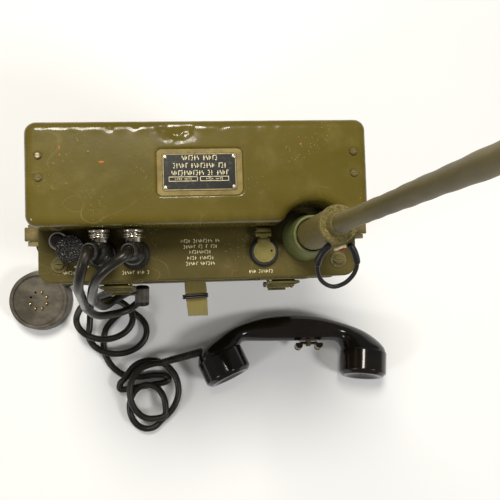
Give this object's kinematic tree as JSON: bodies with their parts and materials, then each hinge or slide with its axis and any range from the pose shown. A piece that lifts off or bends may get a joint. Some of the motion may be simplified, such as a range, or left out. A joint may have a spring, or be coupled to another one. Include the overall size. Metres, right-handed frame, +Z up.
{
  "type": "backpack radio set",
  "caption": "Upright olive drab field radio in a two-part steel case, with hinged lid, whip antenna, control panel, corded handset and round power plug.",
  "frame": {"origin": "on the floor, under the centre of the case", "axes": "+Z up the case, -Y towards the operator's panel side, +X towards the antenna side"},
  "size_m": [0.5363, 0.3553, 0.883],
  "materials": {
    "olive_gloss_paint": "semi-gloss olive drab enamel over steel, chipped and scratched",
    "olive_flat_paint": "worn flat olive drab paint",
    "rubber_black": "matt black rubber",
    "battery_card": "waxed card",
    "bare_aluminium": "plain",
    "tube_glass": "clear glass, silvered top",
    "nickel": "worn nickel plate",
    "webbing": "khaki cotton webbing",
    "black_metal": "blackened steel",
    "green_insulator": "green moulded insulator, worn rim",
    "antenna_finish": "textured olive finish",
    "cord_rubber": "dark brown-black rubber cord",
    "bakelite": "polished black bakelite",
    "brass": "bare brass",
    "grey_phenolic": "grey-brown moulded phenolic",
    "black_enamel": "black enamelled plate"
  },
  "bodies": {
    "set": {"radio_case": "olive_gloss_paint", "battery_box": "olive_gloss_paint", "control_panel": "olive_gloss_paint", "case_seals": "rubber_black", "jack_boots": "rubber_black", "battery_block": "battery_card", "chassis": "bare_aluminium", "coil_cans": "bare_aluminium", "tuning_capacitor": "bare_aluminium", "volume_control": "bare_aluminium", "vacuum_tubes": "tube_glass", "panel_screws": "olive_flat_paint", "button_bezel": "nickel", "jack_bodies": "nickel", "plug_glands": "nickel", "case_hinge_leaves": "olive_flat_paint", "lid_hinge_pins": "nickel", "aux_hinge": "olive_flat_paint", "latch_plates": "olive_flat_paint", "latch_keepers": "olive_flat_paint", "side_brackets": "olive_flat_paint", "webbing_tab": "webbing", "tab_keeper": "black_metal", "antenna_cup": "green_insulator", "antenna_sleeve": "antenna_finish", "antenna_gooseneck": "antenna_finish", "antenna_loop": "cord_rubber", "plug_cords": "cord_rubber", "cord_junction": "cord_rubber", "handset_cord": "cord_rubber", "power_cable": "cord_rubber", "plug_bodies": "bakelite", "handset_shell": "bakelite", "mouthpiece_cap": "bakelite", "earpiece_cap": "bakelite", "handset_capsules": "bare_aluminium", "switch_block": "brass", "power_pins": "brass", "power_plug": "grey_phenolic"},
    "lid": {"lid_shell": "olive_gloss_paint", "lid_seal": "rubber_black", "lid_screws": "olive_flat_paint", "lid_hinge_leaves": "olive_flat_paint", "nameplate": "black_enamel", "nameplate_rivets": "nickel"},
    "volume": {"volume_knob": "bakelite"},
    "lamp": {"lamp_button": "rubber_black"},
    "aux_flap": {"aux_cover": "olive_flat_paint"},
    "talk": {"talk_switch": "bakelite"},
    "tuner_rotor": {"capacitor_rotor": "bare_aluminium"},
    "tuner_knob": {"tuning_knob": "bakelite"},
    "lever_left": {"latch_lever_left": "olive_flat_paint"},
    "bail_left": {"latch_bail_left": "black_metal"},
    "ring_left": {"bracket_ring_left": "black_metal"},
    "lever_right": {"latch_lever_right": "olive_flat_paint"},
    "bail_right": {"latch_bail_right": "black_metal"},
    "ring_right": {"bracket_ring_right": "black_metal"},
    "whip": {"antenna_rod": "antenna_finish", "antenna_whip": "black_metal"}
  },
  "joints": [
    {"name": "lid_hinge", "type": "hinge", "parent": "set", "child": "lid", "pos_m": [0, 0.0725, 0.385], "axis": [-1, 0, 0], "range_deg": [0, 100]},
    {"name": "volume_turn", "type": "hinge", "parent": "set", "child": "volume", "pos_m": [-0.1135, -0.038, 0.384], "axis": [0, 0, -1], "range_deg": [0, 300]},
    {"name": "lamp_press", "type": "slide", "parent": "set", "child": "lamp", "axis": [0, 0, -1], "range_m": [0, 0.002]},
    {"name": "aux_flap_hinge", "type": "hinge", "parent": "set", "child": "aux_flap", "pos_m": [0.0585, -0.0284, 0.3922], "axis": [-1, 0, 0], "range_deg": [0, 95]},
    {"name": "talk_rock", "type": "hinge", "parent": "set", "child": "talk", "pos_m": [0.1595, -0.16185, 0.02906], "axis": [0.0077, 0.2587, 0.9659], "range_deg": [-4, 4]},
    {"name": "dial_turn", "type": "hinge", "parent": "set", "child": "tuner_rotor", "pos_m": [-0.06, 0, 0.374], "axis": [0, 0, 1], "range_deg": [0, 180]},
    {"name": "tuning_turn", "type": "hinge", "parent": "set", "child": "tuner_knob", "pos_m": [-0.06, 0.025, 0.374], "axis": [0, 0, 1], "range_deg": [-463, 0]},
    {"name": "antenna_bend", "type": "hinge", "parent": "set", "child": "whip", "pos_m": [0.0985, -0.0315, 0.574], "axis": [0, 1, 0], "range_deg": [-35, 35], "stiffness_Nm_per_rad": 4, "deforming": ["antenna_gooseneck"]},
    {"name": "latch_left", "type": "hinge", "parent": "set", "child": "lever_left", "pos_m": [-0.078, -0.0745, 0.346], "axis": [-1, 0, 0], "range_deg": [0, 110]},
    {"name": "bail_left_swing", "type": "hinge", "parent": "lever_left", "child": "bail_left", "pos_m": [-0.078, -0.0745, 0.338], "axis": [1, 0, 0], "range_deg": [0, 110]},
    {"name": "ring_left_swing", "type": "hinge", "parent": "set", "child": "ring_left", "pos_m": [-0.154, -0.022, 0.358], "axis": [0, 1, 0], "range_deg": [0, 110]},
    {"name": "latch_right", "type": "hinge", "parent": "set", "child": "lever_right", "pos_m": [0.078, -0.0745, 0.346], "axis": [-1, 0, 0], "range_deg": [0, 110]},
    {"name": "bail_right_swing", "type": "hinge", "parent": "lever_right", "child": "bail_right", "pos_m": [0.078, -0.0745, 0.338], "axis": [1, 0, 0], "range_deg": [0, 110]},
    {"name": "ring_right_swing", "type": "hinge", "parent": "set", "child": "ring_right", "pos_m": [0.154, -0.022, 0.358], "axis": [0, -1, 0], "range_deg": [0, 110]}
  ],
  "couplings": [
    {"joint": "tuning_turn", "follows": "dial_turn", "ratio": -2.5714},
    {"joint": "bail_left_swing", "follows": "latch_left", "ratio": 1},
    {"joint": "bail_right_swing", "follows": "latch_right", "ratio": 1}
  ]
}
